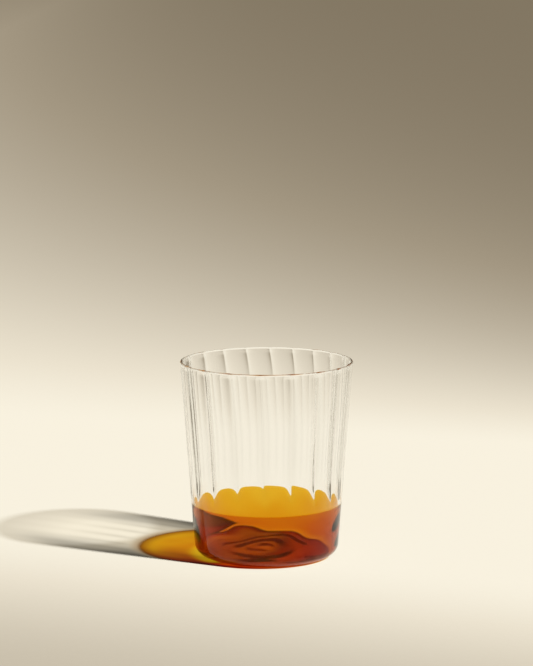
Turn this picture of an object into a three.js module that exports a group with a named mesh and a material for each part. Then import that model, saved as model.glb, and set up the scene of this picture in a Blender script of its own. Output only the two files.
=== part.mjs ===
import * as THREE from 'three';

// Two-tone glass tumbler, in millimetres. It stands on z = 0 with its axis on +Z.
// A clear wall with ribs on its inside is fused, end to end, onto a smooth amber cup.

const { degToRad, lerp, smoothstep } = THREE.MathUtils;

// Outside form
const height = 90;
const rimDiameter = 79.4;
const baseDiameter = 65.6; // the outside cone, carried down to the table
const jointHeight = 24.3;
const heelFillet = 5.5;

// Thickness of the glass
const wall = 1.3; // between the ribs and at the joint
const baseWall = 2.5; // of the amber cup, where its wall meets the floor
const floorThickness = 1.1;

// Underside
const footWidth = 2.5; // the flat ring that the tumbler stands on
const puntDepth = 1.2; // the floor inside is domed as much
const markDiameter = 7.4; // the tip-off mark in the middle of the punt
const markDepth = 0.3;

// Ribs: angles in degrees from the front, -Y, counter-clockwise from above
const ribCount = 19;
const ribHeight = 1;
const ribSharpness = 2.5; // the power that keeps the flute hollow and its edges steep
const ribPhase = -2.5; // of the first rib, before it swings
const ribSpread = 6.8; // hand-worked unevenness, wider apart at the front
const ribSkew = 6.4; // and wider apart on the left
const frontLean = -2; // of the ribs at the front, mostly near the rim
const backLean = 5;
const ribSwing = 2.4; // extra turn of every rib at the joint
const swingReach = 10; // height over which most of that turn is gone
const rimRunout = 2; // height over which the ribs sink into the lip
const rimShare = 0.8; // of the rib height that is left on the lip
const jointRunout = 14; // height over which the ribs rise out of the joint

// Fineness of the facets
const facetsPerRib = 6;
const runoutRows = 4;
const wallRows = 5;
const lipSteps = 6;
const filletSteps = 5;
const puntSteps = 4;
const markSteps = 2;

const columnCount = ribCount * facetsPerRib;
const lipCentre = height - wall / 2;

const outerRadius = (z) => lerp(baseDiameter / 2, rimDiameter / 2, z / height);

// Evenly spaced numbers from first to last
const evenly = (first, last, steps) => (
  Array.from({ length: steps + 1 }, (_, i) => lerp(first, last, i / steps))
);

// Arc that rounds the corner between two straight edges of an outline
function roundedCorner(before, corner, after, radius) {
  const back = before.clone().sub(corner).normalize();
  const ahead = after.clone().sub(corner).normalize();
  const half = Math.acos(back.dot(ahead)) / 2;
  const centre = back.clone().add(ahead).setLength(radius / Math.sin(half)).add(corner);
  const reach = radius / Math.tan(half);
  const start = back.clone().setLength(reach).add(corner).sub(centre).angle();
  const end = ahead.clone().setLength(reach).add(corner).sub(centre).angle();
  const clockwise = back.cross(ahead) > 0;
  return new THREE.ArcCurve(centre.x, centre.y, radius, start, end, clockwise).getPoints(filletSteps);
}

// Closed surface from columns round the axis, each a closed section of as many points
function ringGeometry(columns) {
  const size = columns[0].length;
  const faces = [];
  columns.forEach((_, column) => {
    const here = column * size;
    const beside = ((column + 1) % columns.length) * size;
    for (let point = 0; point < size; point += 1) {
      const next = (point + 1) % size;
      faces.push(here + point, beside + point, beside + next);
      faces.push(here + point, beside + next, here + next);
    }
  });
  const geometry = new THREE.BufferGeometry().setFromPoints(columns.flat());
  geometry.setIndex(faces);
  geometry.computeVertexNormals();
  return geometry;
}

// Share of the rib height at a level: none at the joint, all of it higher up, and less on the lip
function ribFade(z) {
  const aboveJoint = smoothstep(z, jointHeight, jointHeight + jointRunout);
  const belowLip = lerp(1, rimShare, smoothstep(z, lipCentre - rimRunout, lipCentre));
  return Math.min(aboveJoint, belowLip);
}

// Angle of a column of the wall at a level, where a share of 1 is a full turn
function columnAngle(share, z) {
  const even = share * 2 * Math.PI;
  const drift = ribSpread * Math.sin(even) - ribSkew * (1 - Math.cos(even));
  const lean = lerp(frontLean, backLean, (1 - Math.cos(even)) / 2);
  const rise = (z - jointHeight) / (height - jointHeight);
  const swing = ribSwing * Math.exp((jointHeight - z) / swingReach);
  return even + degToRad(ribPhase + drift + lean * rise ** 4 + swing - 90);
}

// Section of the clear wall at one column: up the outside, over the lip and down the inside
function wallSection(column) {
  const across = (column % facetsPerRib) / facetsPerRib;
  const rib = ribHeight * Math.abs(2 * across - 1) ** ribSharpness;
  const levels = [
    ...evenly(jointHeight, jointHeight + jointRunout, runoutRows),
    ...evenly(jointHeight + jointRunout, lipCentre - rimRunout, wallRows).slice(1),
    lipCentre,
  ];
  const place = (radius, z) => {
    const angle = columnAngle(column / columnCount, z);
    return new THREE.Vector3(radius * Math.cos(angle), radius * Math.sin(angle), z);
  };
  const outside = levels.map((z) => place(outerRadius(z), z));
  const inside = levels.map((z) => place(outerRadius(z) - wall - rib * ribFade(z), z));
  const halfLip = (wall + rib * rimShare) / 2;
  const lipMiddle = outerRadius(lipCentre) - halfLip;
  const lip = evenly(0, Math.PI, lipSteps).slice(1, -1).map((turn) => (
    place(lipMiddle + halfLip * Math.cos(turn), lerp(lipCentre, height, Math.sin(turn)))
  ));
  return [...outside, ...lip, ...inside.reverse()];
}

// Half section of the amber cup, from the axis underneath to the axis on the floor inside
function cupProfile() {
  const jointOutside = new THREE.Vector2(outerRadius(jointHeight), jointHeight);
  const jointInside = new THREE.Vector2(jointOutside.x - wall, jointHeight);
  const middle = new THREE.Vector2(0, 0);
  const heelCorner = new THREE.Vector2(outerRadius(0), 0);
  const heel = roundedCorner(middle, heelCorner, jointOutside, heelFillet);
  const floorCorner = new THREE.Vector2(outerRadius(floorThickness) - baseWall, floorThickness);
  const floorMiddle = new THREE.Vector2(0, floorThickness);
  const corner = roundedCorner(jointInside, floorCorner, floorMiddle, heelFillet - baseWall);
  const puntRadius = heel[0].x - footWidth;
  const markRadius = markDiameter / 2;
  const dome = (radius, edge) => Math.max(1 - (radius / edge) ** 2, 0);
  const punt = (radius) => puntDepth * dome(radius, puntRadius);
  const underside = [
    ...evenly(0, markRadius, markSteps),
    ...evenly(markRadius, puntRadius, puntSteps).slice(1),
  ].map((radius) => new THREE.Vector2(radius, punt(radius) + markDepth * dome(radius, markRadius)));
  const floor = evenly(corner.at(-1).x, 0, puntSteps).slice(1).map((radius) => (
    new THREE.Vector2(radius, floorThickness + punt(radius))
  ));
  return [...underside, ...heel, jointOutside, jointInside, ...corner, ...floor];
}

function clearWall() {
  const columns = Array.from({ length: columnCount }, (_, column) => wallSection(column));
  const material = new THREE.MeshStandardMaterial({ color: 0xf4f0e4, roughness: 0.03, metalness: 0 });
  material.transparent = true;
  material.opacity = 0.3;
  return new THREE.Mesh(ringGeometry(columns), material);
}

function amberBase() {
  const geometry = new THREE.LatheGeometry(cupProfile(), columnCount);
  geometry.rotateX(Math.PI / 2);
  const material = new THREE.MeshStandardMaterial({ color: 0xc9780f, roughness: 0.03, metalness: 0 });
  material.transparent = true;
  material.opacity = 0.75;
  return new THREE.Mesh(geometry, material);
}

const tumbler = new THREE.Group();
for (const [name, piece] of Object.entries({ clear_wall: clearWall(), amber_base: amberBase() })) {
  piece.name = name;
  tumbler.add(piece);
}

export default tumbler;
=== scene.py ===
import bpy
import math
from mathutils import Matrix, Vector


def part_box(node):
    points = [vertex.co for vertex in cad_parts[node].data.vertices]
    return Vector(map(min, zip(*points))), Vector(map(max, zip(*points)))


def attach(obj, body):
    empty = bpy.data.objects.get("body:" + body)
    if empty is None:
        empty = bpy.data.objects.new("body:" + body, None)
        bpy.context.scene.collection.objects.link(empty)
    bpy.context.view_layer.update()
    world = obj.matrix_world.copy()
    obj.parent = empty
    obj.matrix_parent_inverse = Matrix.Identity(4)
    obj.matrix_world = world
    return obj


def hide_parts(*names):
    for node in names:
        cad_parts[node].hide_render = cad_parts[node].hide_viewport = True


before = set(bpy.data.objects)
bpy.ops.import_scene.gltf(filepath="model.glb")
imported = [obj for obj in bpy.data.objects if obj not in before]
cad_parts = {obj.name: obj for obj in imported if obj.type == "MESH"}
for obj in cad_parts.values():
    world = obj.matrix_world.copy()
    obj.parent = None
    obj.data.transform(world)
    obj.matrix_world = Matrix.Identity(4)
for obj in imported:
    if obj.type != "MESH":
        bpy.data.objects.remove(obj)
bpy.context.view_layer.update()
scene = bpy.context.scene
scene.view_settings.view_transform = "Standard"

# light goes to and fro many times inside a glass wall, so it gets more than the usual bounces
bounceLimit = 40
for limit in ("max_bounces", "glossy_bounces", "transmission_bounces", "transparent_max_bounces"):
    setattr(scene.cycles, limit, bounceLimit)
scene.cycles.caustics_refractive = False  # the glass materials shape their own shadow

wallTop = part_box("clear_wall")[1].z
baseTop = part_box("amber_base")[1].z
print("frame loaded:", sorted(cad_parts))

# outside form and glass thickness, metres
glassForm = {
    "height": wallTop,
    "jointHeight": baseTop,
    "rimDiameter": 0.0794,
    "baseDiameter": 0.0656,  # the outside cone carried down to the table
    "wall": 0.0013,  # between ribs, at the lip and at the joint
    "jointGap": 0.000005,  # keeps the two fused faces apart for the renderer
}

jointHeight = glassForm["jointHeight"]
lipCentre = glassForm["height"] - glassForm["wall"] / 2


def outerRadius(z):
    low, high = glassForm["baseDiameter"] / 2, glassForm["rimDiameter"] / 2
    return low + (high - low) * z / glassForm["height"]


def smoothStep(value, low, high):
    t = min(max((value - low) / (high - low), 0), 1)
    return t * t * (3 - 2 * t)


def evenly(first, last, steps):
    return [first + (last - first) * i / steps for i in range(steps + 1)]


# 0 at the front and 1 at the back
def towardsBack(turn):
    return (1 - math.cos(turn)) / 2


# arc that rounds the corner between two straight edges of a section
def roundedCorner(before, corner, after, radius, steps):
    back = (before - corner).normalized()
    ahead = (after - corner).normalized()
    half = math.acos(back.dot(ahead)) / 2
    centre = corner + (back + ahead).normalized() * radius / math.sin(half)
    start = corner + back * radius / math.tan(half) - centre
    swing = math.pi - 2 * half
    side = 1 if back.x * ahead.y - back.y * ahead.x < 0 else -1
    points = []
    for share in evenly(0, 1, steps):
        turn = side * swing * share
        c, s = math.cos(turn), math.sin(turn)
        points.append(centre + Vector((start.x * c - start.y * s, start.x * s + start.y * c)))
    return points


sharpAngle = math.radians(50)  # edges that turn more than this stay sharp


def newMesh(name, points, faces):
    mesh = bpy.data.meshes.new(name)
    mesh.from_pydata(points, [], faces)
    mesh.update()
    mesh.shade_smooth()
    mesh.set_sharp_from_angle(angle=sharpAngle)
    piece = bpy.data.objects.new(name, mesh)
    scene.collection.objects.link(piece)
    return piece


# marks the faces on the fused joint, where the two glasses are one, and those on the outside
def markFaces(piece, jointLevel):
    sameLevel, leastOutwards = 1e-7, 0.1
    mesh = piece.data
    fused = mesh.attributes.new("fused", "FLOAT", "FACE")
    outside = mesh.attributes.new("outside", "FLOAT", "FACE")
    for face in mesh.polygons:
        onJoint = all(abs(mesh.vertices[i].co.z - jointLevel) < sameLevel for i in face.vertices)
        fused.data[face.index].value = 1 if onJoint else 0
        outwards = face.normal.xy.dot(face.center.xy.normalized())
        outside.data[face.index].value = 1 if outwards > leastOutwards else 0


# ribs on the inside of the clear wall, angles in degrees from the front, to the right
ribForm = {
    "count": 19,
    "height": 0.001,
    "sharpness": 2.5,
    "tipLow": 0.04,  # rounding of the ridge near the joint, as a share of half a flute
    "tip": 0.1,  # and higher up
    "tipLip": 0.025,  # and at the lip on the far side
    "crestShare": 0.45,  # of the height that is a fine crest there
    "crestPower": 9,
    "crestReach": 0.024,
    "phase": -2.5,
    "spread": 6.8,  # wider apart at the front than at the back
    "skew": 6.4,  # and wider on the left than on the right
    "frontLean": -2,
    "backLean": 5,
    "leanPower": 4,  # most of the lean is near the rim
    "swing": 2.4,  # to the right at the joint
    "swingReach": 0.01,
    "rimRunout": 0.002,
    "rimShare": 0.8,  # of the height that is left on the lip
    "jointRunout": 0.014,
    "columns": 30,  # across one flute
    "crowding": 1.7,  # columns stand closer together at the ridges
    "jointRows": 14,
    "rows": 60,
    "rimRows": 6,
    "lipSteps": 12,
}

columnCount = ribForm["count"] * ribForm["columns"]
ribsFull = jointHeight + ribForm["jointRunout"]
rimStart = lipCentre - ribForm["rimRunout"]


def ribFade(z):
    aboveJoint = smoothStep(z, jointHeight, ribsFull)
    belowLip = smoothStep(z, rimStart, lipCentre)
    return min(aboveJoint, 1 - belowLip * (1 - ribForm["rimShare"]))


# ribs lean with height and drift a little round the wall, as in hand-worked tube
def columnAngle(share, z):
    even = share * 2 * math.pi
    drift = ribForm["spread"] * math.sin(even) - ribForm["skew"] * (1 - math.cos(even))
    rise = (z - jointHeight) / (glassForm["height"] - jointHeight)
    lean = ribForm["frontLean"] + (ribForm["backLean"] - ribForm["frontLean"]) * towardsBack(even)
    swing = ribForm["swing"] * math.exp((jointHeight - z) / ribForm["swingReach"])
    turned = ribForm["phase"] + drift + lean * rise ** ribForm["leanPower"] + swing
    return even + math.radians(turned - 90)


# section of the wall at one column, and how much of a ridge each of its points has
def wallSection(column, levels):
    flute, step = divmod(column, ribForm["columns"])
    side = (2 * step + 1) / ribForm["columns"] - 1  # from -1 at one ridge to 1 at the next
    gap = (1 - abs(side)) ** ribForm["crowding"]
    share = (flute + 0.5 + math.copysign(1 - gap, side) / 2) / ribForm["count"]
    farSide = towardsBack(2 * math.pi * share)

    def rib(z):
        rounder = smoothStep(z, ribsFull, ribsFull + ribForm["jointRunout"])
        sharper = smoothStep(z, lipCentre - ribForm["crestReach"], rimStart) * farSide
        tip = ribForm["tipLow"] + (ribForm["tip"] - ribForm["tipLow"]) * rounder
        tip += (ribForm["tipLip"] - tip) * sharper
        fall = math.hypot(gap, tip) - tip
        hollow = (1 - fall) ** ribForm["sharpness"]
        crest = (1 - fall) ** ribForm["crestPower"]
        return ribForm["height"] * (hollow + (crest - hollow) * ribForm["crestShare"] * sharper)

    def place(radius, z):
        angle = columnAngle(share, z)
        return (radius * math.cos(angle), radius * math.sin(angle), z)

    outside = [place(outerRadius(z), z) for z in levels]
    inside = [place(outerRadius(z) - glassForm["wall"] - rib(z) * ribFade(z), z) for z in levels]
    lipRadius = (glassForm["wall"] + rib(lipCentre) * ribForm["rimShare"]) / 2
    middle = outerRadius(lipCentre) - lipRadius
    crown = glassForm["wall"] / 2
    turns = evenly(0, math.pi, ribForm["lipSteps"])[1:-1]
    lip = [place(middle + lipRadius * math.cos(t), lipCentre + crown * math.sin(t)) for t in turns]
    ridges = [0] * len(outside + lip)
    ridges += [rib(z) * ribFade(z) / ribForm["height"] for z in levels[::-1]]
    return outside + lip + inside[::-1], ridges


def buildClearWall():
    levels = evenly(jointHeight, ribsFull, ribForm["jointRows"])
    levels[0] += glassForm["jointGap"]
    levels += evenly(ribsFull, rimStart, ribForm["rows"])[1:]
    levels += evenly(rimStart, lipCentre, ribForm["rimRows"])[1:]
    sections = [wallSection(column, levels) for column in range(columnCount)]
    size = len(sections[0][0])
    points = [point for section, ridges in sections for point in section]
    faces = []
    for column in range(columnCount):
        here, beside = column * size, (column + 1) % columnCount * size
        for i in range(size):
            j = (i + 1) % size
            faces.append((here + i, beside + i, beside + j, here + j))
    wall = newMesh("clearWall", points, faces)
    markFaces(wall, levels[0])
    ridge = wall.data.attributes.new("ridge", "FLOAT", "POINT")
    ridge.data.foreach_set("value", [share for section, ridges in sections for share in ridges])
    return wall


# amber cup, metres, and the steps of its section
cupForm = {
    "heelFillet": 0.0055,
    "wall": 0.0025,  # where it meets the floor
    "floor": 0.0011,
    "footWidth": 0.0025,
    "puntDepth": 0.0012,
    "markDiameter": 0.0074,  # the tip-off mark in the punt
    "markDepth": 0.0003,
    "filletSteps": 16,
    "markSteps": 8,
    "puntSteps": 16,
    "footSteps": 3,
    "outsideSteps": 10,
    "insideSteps": 24,
    "floorSteps": 64,
}

# unevenness of the cup inside: turns round, rise of one wave, depth and start of each wave
cupWaves = (
    {"lobes": 4, "rise": 0.019, "depth": 0.00008, "start": 0.7},
    {"lobes": -7, "rise": 0.013, "depth": 0.00006, "start": 2.4},
    {"lobes": 11, "rise": 0.03, "depth": 0.00003, "start": 4.1},
)

# heights between which the waves come in over the floor and die out below the joint
waveReach = {
    "floorFrom": cupForm["floor"] * 1.5,
    "floorTo": cupForm["floor"] * 4,
    "jointFrom": jointHeight * 0.75,
    "skin": glassForm["wall"] * 0.9,  # anything nearer to the outside than this keeps its place
}

# rings left on the floor inside by the turning
floorRings = {
    "pitch": 0.0107,
    "depth": 0.00016,
    "from": 0.003,
    "full": 0.006,
    "fadeFrom": 0.0192,
    "to": 0.024,
    "aside": -0.003,
}


def cupProfile():
    floor = cupForm["floor"]
    jointOutside = Vector((outerRadius(jointHeight), jointHeight))
    jointInside = Vector((jointOutside.x - glassForm["wall"], jointHeight))
    heelCorner = Vector((outerRadius(0), 0))
    heelFillet, filletSteps = cupForm["heelFillet"], cupForm["filletSteps"]
    heel = roundedCorner(Vector((0, 0)), heelCorner, jointOutside, heelFillet, filletSteps)
    floorCorner = Vector((outerRadius(floor) - cupForm["wall"], floor))
    cornerFillet = heelFillet - cupForm["wall"]
    corner = roundedCorner(jointInside, floorCorner, Vector((0, floor)), cornerFillet, filletSteps)
    puntRadius = heel[0].x - cupForm["footWidth"]
    markRadius = cupForm["markDiameter"] / 2

    def punt(radius):
        return cupForm["puntDepth"] * max(1 - (radius / puntRadius) ** 2, 0)

    underside = []
    radii = evenly(0, markRadius, cupForm["markSteps"])
    radii += evenly(markRadius, puntRadius, cupForm["puntSteps"])[1:]
    for radius in radii:
        mark = cupForm["markDepth"] * max(1 - (radius / markRadius) ** 2, 0)
        underside.append(Vector((radius, punt(radius) + mark)))
    foot = [underside[-1].lerp(heel[0], t) for t in evenly(0, 1, cupForm["footSteps"])[1:-1]]
    outside = [heel[-1].lerp(jointOutside, t) for t in evenly(0, 1, cupForm["outsideSteps"])[1:]]
    inside = [jointInside.lerp(corner[0], t) for t in evenly(0, 1, cupForm["insideSteps"])[:-1]]
    floorRadii = evenly(corner[-1].x, 0, cupForm["floorSteps"])[1:]
    floorLine = [Vector((radius, floor + punt(radius))) for radius in floorRadii]
    return underside + foot + heel + outside + inside + corner, floorLine


# height of the rings at a point on the floor inside
def floorRing(x, y):
    away = math.hypot(x, y)
    radius = math.hypot(x - floorRings["aside"], y)
    middle = smoothStep(radius, floorRings["from"], floorRings["full"])
    edge = 1 - smoothStep(away, floorRings["fadeFrom"], floorRings["to"])
    wave = math.sin(2 * math.pi * radius / floorRings["pitch"])
    return floorRings["depth"] * wave * min(middle, edge)


# inward and outward waves of the cup's inner wall, none at the joint, the floor and the outside
def cupWave(angle, radius, z):
    if radius > outerRadius(z) - waveReach["skin"]:
        return 0
    low = smoothStep(z, waveReach["floorFrom"], waveReach["floorTo"])
    high = 1 - smoothStep(z, waveReach["jointFrom"], jointHeight)
    total = 0
    for wave in cupWaves:
        turn = wave["lobes"] * angle + 2 * math.pi * z / wave["rise"] + wave["start"]
        total += wave["depth"] * math.sin(turn)
    return total * min(low, high)


def buildAmberBase():
    shell, floorLine = cupProfile()
    points = [(0, 0, shell[0].y), (0, 0, floorLine[-1].y + floorRing(0, 0))]
    for column in range(columnCount):
        angle = columnAngle((column + 0.5) / columnCount, jointHeight)
        for p in shell[1:]:
            radius = p.x + cupWave(angle, p.x, p.y)
            points.append((radius * math.cos(angle), radius * math.sin(angle), p.y))
        for p in floorLine[:-1]:
            x, y = p.x * math.cos(angle), p.x * math.sin(angle)
            points.append((x, y, p.y + floorRing(x, y)))
    size, faces = len(shell) + len(floorLine) - 2, []
    for column in range(columnCount):
        here, beside = 2 + column * size, 2 + (column + 1) % columnCount * size
        faces.append((0, beside, here))
        faces.append((1, here + size - 1, beside + size - 1))
        for i in range(size - 1):
            faces.append((here + i, beside + i, beside + i + 1, here + i + 1))
    base = newMesh("amberBase", points, faces)
    markFaces(base, jointHeight)
    return base


def newMaterial(name):
    material = bpy.data.materials.new(name)
    material.use_nodes = True
    tree = material.node_tree
    tree.nodes.clear()
    out = tree.nodes.new("ShaderNodeOutputMaterial")
    return material, tree, out


# sets a socket to a value, or links it to the output of another node
def feed(tree, value, socket):
    if isinstance(value, bpy.types.NodeSocket):
        tree.links.new(value, socket)
    else:
        socket.default_value = value


def maths(tree, operation, *values):
    node = tree.nodes.new("ShaderNodeMath")
    node.operation = operation
    for value, socket in zip(values, node.inputs):
        feed(tree, value, socket)
    return node.outputs[0]


def mapRange(tree, value, fromMin, fromMax, toMin, toMax, interpolation="LINEAR"):
    node = tree.nodes.new("ShaderNodeMapRange")
    node.interpolation_type = interpolation
    names = ("Value", "From Min", "From Max", "To Min", "To Max")
    for name, given in zip(names, (value, fromMin, fromMax, toMin, toMax)):
        feed(tree, given, node.inputs[name])
    return node.outputs["Result"]


def mixColours(tree, share, first, second):
    node = tree.nodes.new("ShaderNodeMix")
    node.data_type = "RGBA"
    for name, given in zip(("Factor", "A", "B"), (share, first, second)):
        feed(tree, given, node.inputs[name])
    return node.outputs["Result"]


def colourRamp(tree, value, tones):
    ramp = tree.nodes.new("ShaderNodeValToRGB")
    stops = ramp.color_ramp.elements
    while len(stops) < len(tones):
        stops.new(0.5)
    for stop, (place, colour) in zip(stops, tones):
        stop.position = place
        stop.color = colour
    tree.links.new(value, ramp.inputs["Fac"])
    return ramp.outputs["Color"]


def noise(tree, vector, scale, detail):
    node = tree.nodes.new("ShaderNodeTexNoise")
    node.inputs["Scale"].default_value = scale
    node.inputs["Detail"].default_value = detail
    tree.links.new(vector, node.inputs["Vector"])
    return node.outputs["Fac"]


def attribute(tree, name):
    node = tree.nodes.new("ShaderNodeAttribute")
    node.attribute_name = name
    return node.outputs["Fac"]


def position(tree):
    where = tree.nodes.new("ShaderNodeNewGeometry")
    axes = tree.nodes.new("ShaderNodeSeparateXYZ")
    tree.links.new(where.outputs["Position"], axes.inputs[0])
    return where.outputs["Position"], axes.outputs


# both glasses
glassLook = {
    "ior": 1.5,
    "colour": (1, 1, 1, 1),
    "bendLimit": 8,  # light that has turned more often than this inside the glass leaves it straight
    "cordDepth": 0.00002,  # upright cords from drawing the tube
    "cordScale": 420,
    "cordDetail": 2,
    "cordStretch": (1, 1, 0.08),
    "haze": 0.012,
    "hazeScale": 45,
    "hazeDetail": 2,
    "hazeFrom": 0.5,
    "hazeTo": 0.75,
}

clearLook = {
    "ridgeColour": (0.935, 0.932, 0.925, 1),  # thicker glass looks a little darker
    "absorbColour": (0.52, 0.51, 0.47, 1),
    "density": 21,
    "mirror": (0.12, 0.12, 0.12, 1),  # share of the plain reflection seen head-on
    "lampTint": (1, 0.995, 0.985, 1),
    "shadeShare": 1.0,
}

amberLook = {
    "absorbColour": (0.944, 0.805, 0.0, 1),
    "density": 2840,
    "mirror": (0.2, 0.2, 0.2, 1),
    "lampTint": (1.06, 1.13, 1, 1),  # a little over 1, since the curved cup gathers light
    "shadeShare": 0.05,
}

# share of a lamp's light that gets through the outside, from straight on to grazing
lampShade = {
    "stops": (
        (0.2, 1.0),
        (0.25, 0.97),
        (0.3, 0.87),
        (0.36, 0.71),
        (0.43, 0.56),
        (0.6, 0.43),
        (1.0, 0.25),
    ),
    "warmth": (1, 0.985, 0.95),
    "fadeFrom": 0.07,  # heights between which that gets weaker
    "fadeTo": 0.089,
    "fadeShare": 0.25,
    "lipDepth": 0.03,  # the glass shades a little more up to the lip
    "lipTint": (0.87, 0.855, 0.83, 1),
    "ridgeTint": (0.74, 0.73, 0.71, 1),  # the ridges leave painted streaks of shade in the shadow, softer higher up
    "streakFrom": 0.03,
    "streakTo": 0.06,
    "streakShare": 0.15,
    "seamDepth": 0.005,  # the fused seam throws a painted brown line of shade into the shadow
    "seamTint": (0.72, 0.62, 0.5, 1),
}


# tint that a shadow takes from the glass: darker where the light grazes the outside
def shadowTint(tree, look):
    z = position(tree)[1]["Z"]
    edge = tree.nodes.new("ShaderNodeLayerWeight")
    warmth = lampShade["warmth"]
    tones = [(place, (*[share * w for w in warmth], 1)) for place, share in lampShade["stops"]]
    shade = colourRamp(tree, edge.outputs["Facing"], tones)
    most = look["shadeShare"]
    least = most * lampShade["fadeShare"]
    fade = mapRange(tree, z, lampShade["fadeFrom"], lampShade["fadeTo"], most, least)
    share = maths(tree, "MULTIPLY", attribute(tree, "outside"), fade)
    tint = mixColours(tree, share, look["lampTint"], shade)
    softer = mapRange(
        tree, z, lampShade["streakFrom"], lampShade["streakTo"], 1, lampShade["streakShare"]
    )
    share = maths(tree, "MULTIPLY", attribute(tree, "ridge"), softer)
    tint = mixColours(tree, share, tint, lampShade["ridgeTint"])
    offSeam = maths(tree, "ABSOLUTE", maths(tree, "SUBTRACT", z, jointHeight))
    nearSeam = mapRange(tree, offSeam, 0, lampShade["seamDepth"], 1, 0)
    tint = mixColours(tree, nearSeam, tint, lampShade["seamTint"])
    height = glassForm["height"]
    nearLip = mapRange(tree, z, height - lampShade["lipDepth"], height, 0, 1)
    return mixColours(tree, nearLip, tint, lampShade["lipTint"])


# faint upright cords and a trace of haze, as on hand-drawn tube
def drawnMarks(tree, glass):
    where = tree.nodes.new("ShaderNodeTexCoord").outputs["Object"]
    stretch = tree.nodes.new("ShaderNodeMapping")
    stretch.inputs["Scale"].default_value = glassLook["cordStretch"]
    tree.links.new(where, stretch.inputs["Vector"])
    cords = noise(tree, stretch.outputs["Vector"], glassLook["cordScale"], glassLook["cordDetail"])
    bump = tree.nodes.new("ShaderNodeBump")
    bump.inputs["Strength"].default_value = 1
    bump.inputs["Distance"].default_value = glassLook["cordDepth"]
    tree.links.new(cords, bump.inputs["Height"])
    tree.links.new(bump.outputs["Normal"], glass.inputs["Normal"])
    smudge = noise(tree, where, glassLook["hazeScale"], glassLook["hazeDetail"])
    haze = mapRange(tree, smudge, glassLook["hazeFrom"], glassLook["hazeTo"], 0, glassLook["haze"])
    tree.links.new(haze, glass.inputs["Roughness"])


# smooth glass that lets lamps through to the floor
def glassSurface(tree, out, look):
    glass = tree.nodes.new("ShaderNodeBsdfPrincipled")
    glass.inputs["Base Color"].default_value = glassLook["colour"]
    glass.inputs["IOR"].default_value = glassLook["ior"]
    glass.inputs["Transmission Weight"].default_value = 1
    glass.inputs["Specular Tint"].default_value = look["mirror"]
    drawnMarks(tree, glass)
    # no bend or mirror at the joint, nor for spent light
    path = tree.nodes.new("ShaderNodeLightPath")
    spent = maths(tree, "GREATER_THAN", path.outputs["Ray Depth"], glassLook["bendLimit"])
    straight = maths(tree, "MAXIMUM", attribute(tree, "fused"), spent)
    tree.links.new(mapRange(tree, straight, 0, 1, glassLook["ior"], 1), glass.inputs["IOR"])
    lampWay = tree.nodes.new("ShaderNodeBsdfTransparent")
    tree.links.new(shadowTint(tree, look), lampWay.inputs["Color"])
    toLamp = tree.nodes.new("ShaderNodeMixShader")
    tree.links.new(path.outputs["Is Shadow Ray"], toLamp.inputs[0])
    tree.links.new(glass.outputs[0], toLamp.inputs[1])
    tree.links.new(lampWay.outputs[0], toLamp.inputs[2])
    tree.links.new(toLamp.outputs[0], out.inputs["Surface"])
    return glass


# what the glass takes from light on its way through
def glassBody(tree, out, look):
    absorb = tree.nodes.new("ShaderNodeVolumeAbsorption")
    absorb.inputs["Color"].default_value = look["absorbColour"]
    absorb.inputs["Density"].default_value = look["density"]
    tree.links.new(absorb.outputs[0], out.inputs["Volume"])


def clearGlass():
    material, tree, out = newMaterial("clearGlass")
    glass = glassSurface(tree, out, clearLook)
    ridge = attribute(tree, "ridge")
    depth = mixColours(tree, ridge, glassLook["colour"], clearLook["ridgeColour"])
    tree.links.new(depth, glass.inputs["Base Color"])
    glassBody(tree, out, clearLook)
    return material


def amberGlass():
    material, tree, out = newMaterial("amberGlass")
    glassSurface(tree, out, amberLook)
    glassBody(tree, out, amberLook)
    return material


def dress(piece, node, material):
    piece.data.materials.append(material)
    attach(piece, "root")
    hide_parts(node)
    print(piece.name, len(piece.data.polygons), "faces")


dress(buildClearWall(), "clear_wall", clearGlass())
dress(buildAmberBase(), "amber_base", amberGlass())

# pale paper with painted shade: its colour darkens to taupe behind the glass, sooner on the right,
# and a little in front
floorLook = {
    "rings": (0.5, 2, 14),
    "ringSteps": 96,
    "level": -0.0004,
    "tones": (  # painted shade, from the darkest far side to the lit paper
        (0, (0.224, 0.187, 0.13, 1)),
        (0.2, (0.37, 0.318, 0.237, 1)),
        (0.85, (0.845, 0.787, 0.661, 1)),
        (1, (0.955, 0.91, 0.785, 1)),
    ),
    "backStart": 0.297,
    "backSkew": 0.286,
    "backReach": 0.458,
    "backNarrow": -2.23,
    "backPower": 1.44,
    "frontReach": 0.245,
    "frontSkew": 0.4,
    "frontShare": 0.5,
    "widest": 0.6,  # the painted fall of light behind stays as it is further out than this
    "sideStart": 1.5,  # beyond the camera's view the painted shade takes it to taupe on the other sides too
    "sideEnd": 6.0,
    "grainScale": 420,
    "grainDetail": 3,
    "grainMiddle": 0.5,
    "grain": 0.03,
}


def floorMesh():
    steps, level, rings = floorLook["ringSteps"], floorLook["level"], floorLook["rings"]
    points = [(0, 0, level)]
    for radius in rings:
        for i in range(steps):
            turn = 2 * math.pi * i / steps
            points.append((radius * math.cos(turn), radius * math.sin(turn), level))
    faces = [(0, 1 + i, 1 + (i + 1) % steps) for i in range(steps)]
    for ring in range(len(rings) - 1):
        for i in range(steps):
            a, b = 1 + ring * steps + i, 1 + ring * steps + (i + 1) % steps
            faces.append((a, a + steps, b + steps, b))
    return newMesh("floor", points, faces)
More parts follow.
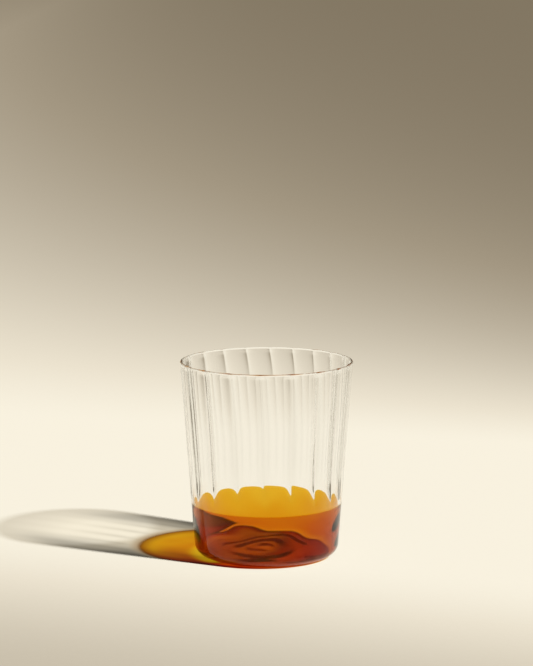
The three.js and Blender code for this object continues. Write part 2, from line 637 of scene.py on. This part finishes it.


# how much painted light the paper has: all of it round the glass, less where painted shade falls
def floorLight(tree, where, x, y):
    nearX = maths(tree, "MAXIMUM", x, -floorLook["widest"])
    nearX = maths(tree, "MINIMUM", nearX, floorLook["widest"])
    behind = maths(tree, "MULTIPLY_ADD", nearX, floorLook["backSkew"], y)
    behind = maths(tree, "MAXIMUM", maths(tree, "SUBTRACT", behind, floorLook["backStart"]), 0)
    reach = maths(tree, "EXPONENT", maths(tree, "MULTIPLY", nearX, floorLook["backNarrow"]))
    reach = maths(tree, "MULTIPLY", reach, floorLook["backReach"])
    fall = maths(tree, "POWER", maths(tree, "DIVIDE", behind, reach), floorLook["backPower"])
    lit = maths(tree, "DIVIDE", 1, maths(tree, "ADD", fall, 1))
    ahead = maths(tree, "MULTIPLY_ADD", nearX, floorLook["frontSkew"], y)
    reach, share = floorLook["frontReach"], floorLook["frontShare"]
    lit = maths(tree, "MULTIPLY", lit, mapRange(tree, ahead, -reach, 0, share, 1, "SMOOTHSTEP"))
    beside = maths(tree, "MAXIMUM", maths(tree, "ABSOLUTE", x), maths(tree, "MULTIPLY", y, -1))
    start, end = floorLook["sideStart"], floorLook["sideEnd"]
    lit = maths(tree, "MULTIPLY", lit, mapRange(tree, beside, start, end, 1, 0, "SMOOTHSTEP"))
    grain = noise(tree, where, floorLook["grainScale"], floorLook["grainDetail"])
    fleck = maths(tree, "SUBTRACT", grain, floorLook["grainMiddle"])
    return maths(tree, "MULTIPLY_ADD", fleck, floorLook["grain"], lit)


def buildFloor():
    floor = floorMesh()
    material, tree, out = newMaterial("floorPaper")
    paper = tree.nodes.new("ShaderNodeBsdfDiffuse")
    where, axes = position(tree)
    # the paper's colour carries the painted light and shade
    tone = colourRamp(tree, floorLight(tree, where, axes["X"], axes["Y"]), floorLook["tones"])
    tree.links.new(tone, paper.inputs["Color"])
    tree.links.new(paper.outputs[0], out.inputs["Surface"])
    floor.data.materials.append(material)


lightSet = {
    "keyAzimuth": -31,  # degrees from +X, towards the camera
    "keyElevation": 40,
    "keyStrength": 4.8,
    "keySize": 2.5,
    "keyColour": (1, 0.98, 0.95),
    "fill": 0.01,
    "fillColour": (1, 0.98, 0.95, 1),
    "skyColour": (0.224, 0.187, 0.13, 1),
}


def buildKey():
    sun = bpy.data.lights.new("key", "SUN")
    sun.energy = lightSet["keyStrength"]
    sun.angle = math.radians(lightSet["keySize"])
    sun.color = lightSet["keyColour"]
    key = bpy.data.objects.new("key", sun)
    a, e = math.radians(lightSet["keyAzimuth"]), math.radians(lightSet["keyElevation"])
    away = Vector((math.cos(a) * math.cos(e), math.sin(a) * math.cos(e), math.sin(e)))
    key.rotation_mode = "QUATERNION"
    key.rotation_quaternion = away.to_track_quat("Z", "Y")
    scene.collection.objects.link(key)


# a trace of fill light, and a taupe room where the sky is seen, mirrored or seen through glass
def buildRoom():
    world = bpy.data.worlds.new("studio")
    scene.world = world
    world.use_nodes = True
    tree = world.node_tree
    tree.nodes.clear()
    out = tree.nodes.new("ShaderNodeOutputWorld")
    fill = tree.nodes.new("ShaderNodeBackground")
    fill.inputs["Color"].default_value = lightSet["fillColour"]
    fill.inputs["Strength"].default_value = lightSet["fill"]
    sky = tree.nodes.new("ShaderNodeBackground")
    sky.inputs["Color"].default_value = lightSet["skyColour"]
    path = tree.nodes.new("ShaderNodeLightPath").outputs
    seen = maths(tree, "MAXIMUM", path["Is Camera Ray"], path["Is Glossy Ray"])
    seen = maths(tree, "MAXIMUM", seen, path["Is Transmission Ray"])
    mix = tree.nodes.new("ShaderNodeMixShader")
    tree.links.new(seen, mix.inputs[0])
    tree.links.new(fill.outputs[0], mix.inputs[1])
    tree.links.new(sky.outputs[0], mix.inputs[2])
    tree.links.new(mix.outputs[0], out.inputs["Surface"])


cameraSet = {
    "distance": 1.25,
    "height": 0.2992,
    "pitch": 8.93,  # degrees below level
    "focalPixels": 2770,
    "imageHeight": 666,
    "sensorWidth": 36,
    "reach": 40,
}


def buildCamera():
    data = bpy.data.cameras.new("camera")
    data.sensor_width = cameraSet["sensorWidth"]
    data.lens = cameraSet["focalPixels"] * cameraSet["sensorWidth"] / cameraSet["imageHeight"]
    data.clip_end = cameraSet["reach"]
    camera = bpy.data.objects.new("camera", data)
    camera.location = (0, -cameraSet["distance"], cameraSet["height"])
    camera.rotation_euler = (math.radians(90 - cameraSet["pitch"]), 0, 0)
    scene.collection.objects.link(camera)
    scene.camera = camera


buildFloor()
buildKey()
buildRoom()
buildCamera()
print("stage, lights and camera placed")
